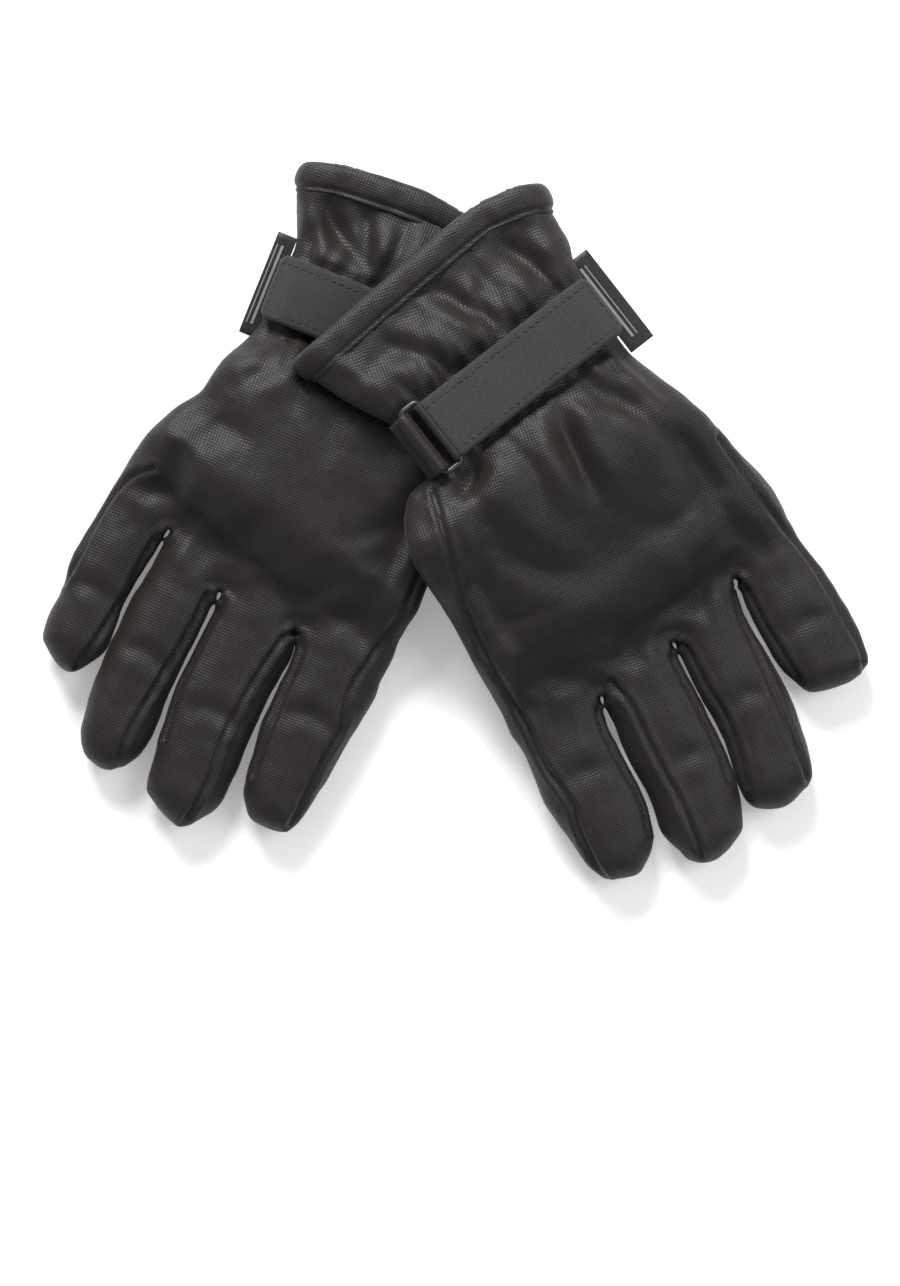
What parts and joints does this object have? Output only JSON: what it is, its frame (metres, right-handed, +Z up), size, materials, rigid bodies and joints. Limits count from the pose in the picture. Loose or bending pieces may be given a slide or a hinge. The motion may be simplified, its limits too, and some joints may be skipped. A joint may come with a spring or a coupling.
{
  "type": "ski gloves",
  "caption": "Pair of insulated ski gloves laid flat with crossed cuffs, each with separate finger stalls, a folded hem and a wrist strap through a rectangular ring.",
  "frame": {"origin": "centre of the pair's footprint, on the surface the gloves lie on", "axes": "+Z up out of the surface, +Y towards the cuffs with the fingertips towards -Y, +X towards the left glove's side"},
  "size_m": [0.3153, 0.274, 0.0559],
  "materials": {
    "shell_fabric": "fine square weave, matt with a soft sheen",
    "fill": "polyester wadding",
    "lining": "brushed fleece",
    "elastic": "braided elastic",
    "ring_plastic": "moulded, smooth gloss",
    "strap_webbing": "smooth brushed strap cloth with stitched edges",
    "hook_tape": "moulded hooks",
    "loop_tape": "napped loops",
    "label_satin": "woven satin"
  },
  "bodies": {
    "right_hand": {"right_back_panel": "shell_fabric", "right_hem_band": "shell_fabric", "right_insulation": "fill", "right_keeper_tab": "strap_webbing", "right_label": "label_satin", "right_lining": "lining", "right_loop_patch": "loop_tape", "right_palm_panel": "shell_fabric", "right_strap": "strap_webbing", "right_strap_base": "strap_webbing", "right_wrist_elastic": "elastic"},
    "left_hand": {"left_back_panel": "shell_fabric", "left_hem_band": "shell_fabric", "left_insulation": "fill", "left_keeper_tab": "strap_webbing", "left_label": "label_satin", "left_lining": "lining", "left_loop_patch": "loop_tape", "left_palm_panel": "shell_fabric", "left_strap_base": "strap_webbing", "left_wrist_elastic": "elastic"},
    "left_index": {"left_index_back": "shell_fabric", "left_index_liner": "lining", "left_index_palm": "shell_fabric"},
    "left_little": {"left_little_back": "shell_fabric", "left_little_liner": "lining", "left_little_palm": "shell_fabric"},
    "left_middle": {"left_middle_back": "shell_fabric", "left_middle_liner": "lining", "left_middle_palm": "shell_fabric"},
    "left_ring": {"left_ring_back": "shell_fabric", "left_ring_liner": "lining", "left_ring_palm": "shell_fabric"},
    "left_strap": {"left_strap": "strap_webbing"},
    "left_strap_end": {"left_hook_patch": "hook_tape", "left_strap_end": "strap_webbing"},
    "left_strap_ring": {"left_ring": "ring_plastic"},
    "left_thumb": {"left_thumb_back": "shell_fabric", "left_thumb_liner": "lining", "left_thumb_palm": "shell_fabric"},
    "right_index": {"right_index_back": "shell_fabric", "right_index_liner": "lining", "right_index_palm": "shell_fabric"},
    "right_little": {"right_little_back": "shell_fabric", "right_little_liner": "lining", "right_little_palm": "shell_fabric"},
    "right_middle": {"right_middle_back": "shell_fabric", "right_middle_liner": "lining", "right_middle_palm": "shell_fabric"},
    "right_ring": {"right_ring_back": "shell_fabric", "right_ring_liner": "lining", "right_ring_palm": "shell_fabric"},
    "right_strap_end": {"right_hook_patch": "hook_tape", "right_strap_end": "strap_webbing"},
    "right_strap_ring": {"right_ring": "ring_plastic"},
    "right_thumb": {"right_thumb_back": "shell_fabric", "right_thumb_liner": "lining", "right_thumb_palm": "shell_fabric"}
  },
  "joints": [
    {"name": "right_index_bend", "type": "hinge", "parent": "right_hand", "child": "right_index", "pos_m": [-0.04027, -0.04522, 0.01], "axis": [0.9219, -0.3875, 0], "range_deg": [-15, 60]},
    {"name": "right_middle_bend", "type": "hinge", "parent": "right_hand", "child": "right_middle", "pos_m": [-0.07356, -0.03285, 0.01], "axis": [0.9336, -0.3584, 0], "range_deg": [-15, 60]},
    {"name": "right_ring_bend", "type": "hinge", "parent": "right_hand", "child": "right_ring", "pos_m": [-0.0981, -0.0143, 0.0095], "axis": [0.9178, -0.3971, 0], "range_deg": [-15, 60]},
    {"name": "right_little_bend", "type": "hinge", "parent": "right_hand", "child": "right_little", "pos_m": [-0.12106, 0.00468, 0.009], "axis": [0.9033, -0.4289, 0], "range_deg": [-15, 60]},
    {"name": "right_thumb_swing", "type": "hinge", "parent": "right_hand", "child": "right_thumb", "pos_m": [-0.02166, 0.01953, 0], "axis": [0, 0, 1], "range_deg": [0, 60]},
    {"name": "right_tab_peel", "type": "hinge", "parent": "right_hand", "child": "right_strap_end", "pos_m": [-0.04595, 0.08219, 0.0245], "axis": [0.3746, 0.9272, 0], "range_deg": [0, 100]},
    {"name": "right_ring_tilt", "type": "hinge", "parent": "right_hand", "child": "right_strap_ring", "pos_m": [0.01265, 0.05851, 0.0219], "axis": [0.3746, 0.9272, 0], "range_deg": [-3, 3]},
    {"name": "left_index_bend", "type": "hinge", "parent": "left_hand", "child": "left_index", "pos_m": [0.03919, -0.06905, 0.01], "axis": [0.9245, 0.3811, 0], "range_deg": [-15, 60]},
    {"name": "left_middle_bend", "type": "hinge", "parent": "left_hand", "child": "left_middle", "pos_m": [0.07234, -0.05486, 0.01], "axis": [0.9354, 0.3535, 0], "range_deg": [-15, 60]},
    {"name": "left_ring_bend", "type": "hinge", "parent": "left_hand", "child": "left_ring", "pos_m": [0.09771, -0.03392, 0.0095], "axis": [0.9265, 0.3762, 0], "range_deg": [-15, 60]},
    {"name": "left_little_bend", "type": "hinge", "parent": "left_hand", "child": "left_little", "pos_m": [0.12307, -0.01298, 0.009], "axis": [0.8829, 0.4695, 0], "range_deg": [-15, 60]},
    {"name": "left_thumb_swing", "type": "hinge", "parent": "left_hand", "child": "left_thumb", "pos_m": [0.01961, -0.00063, 0.0146], "axis": [0, 0, -1], "range_deg": [0, 60]},
    {"name": "left_strap_lift", "type": "hinge", "parent": "left_hand", "child": "left_strap", "pos_m": [-0.0029, 0.03429, 0.05528], "axis": [0.6157, -0.788, 0], "range_deg": [0, 100]},
    {"name": "left_tab_peel", "type": "hinge", "parent": "left_strap", "child": "left_strap_end", "pos_m": [0.04018, 0.06795, 0.05146], "axis": [0.6157, -0.788, 0], "range_deg": [0, 100]},
    {"name": "left_ring_tilt", "type": "hinge", "parent": "left_hand", "child": "left_strap_ring", "pos_m": [-0.00965, 0.02902, 0.05328], "axis": [0.6157, -0.788, 0], "range_deg": [-3, 3]},
    {"name": "left_lift_off", "type": "slide", "parent": "right_hand", "child": "left_hand", "axis": [0, 0, 1], "range_m": [0, 0.12]}
  ]
}
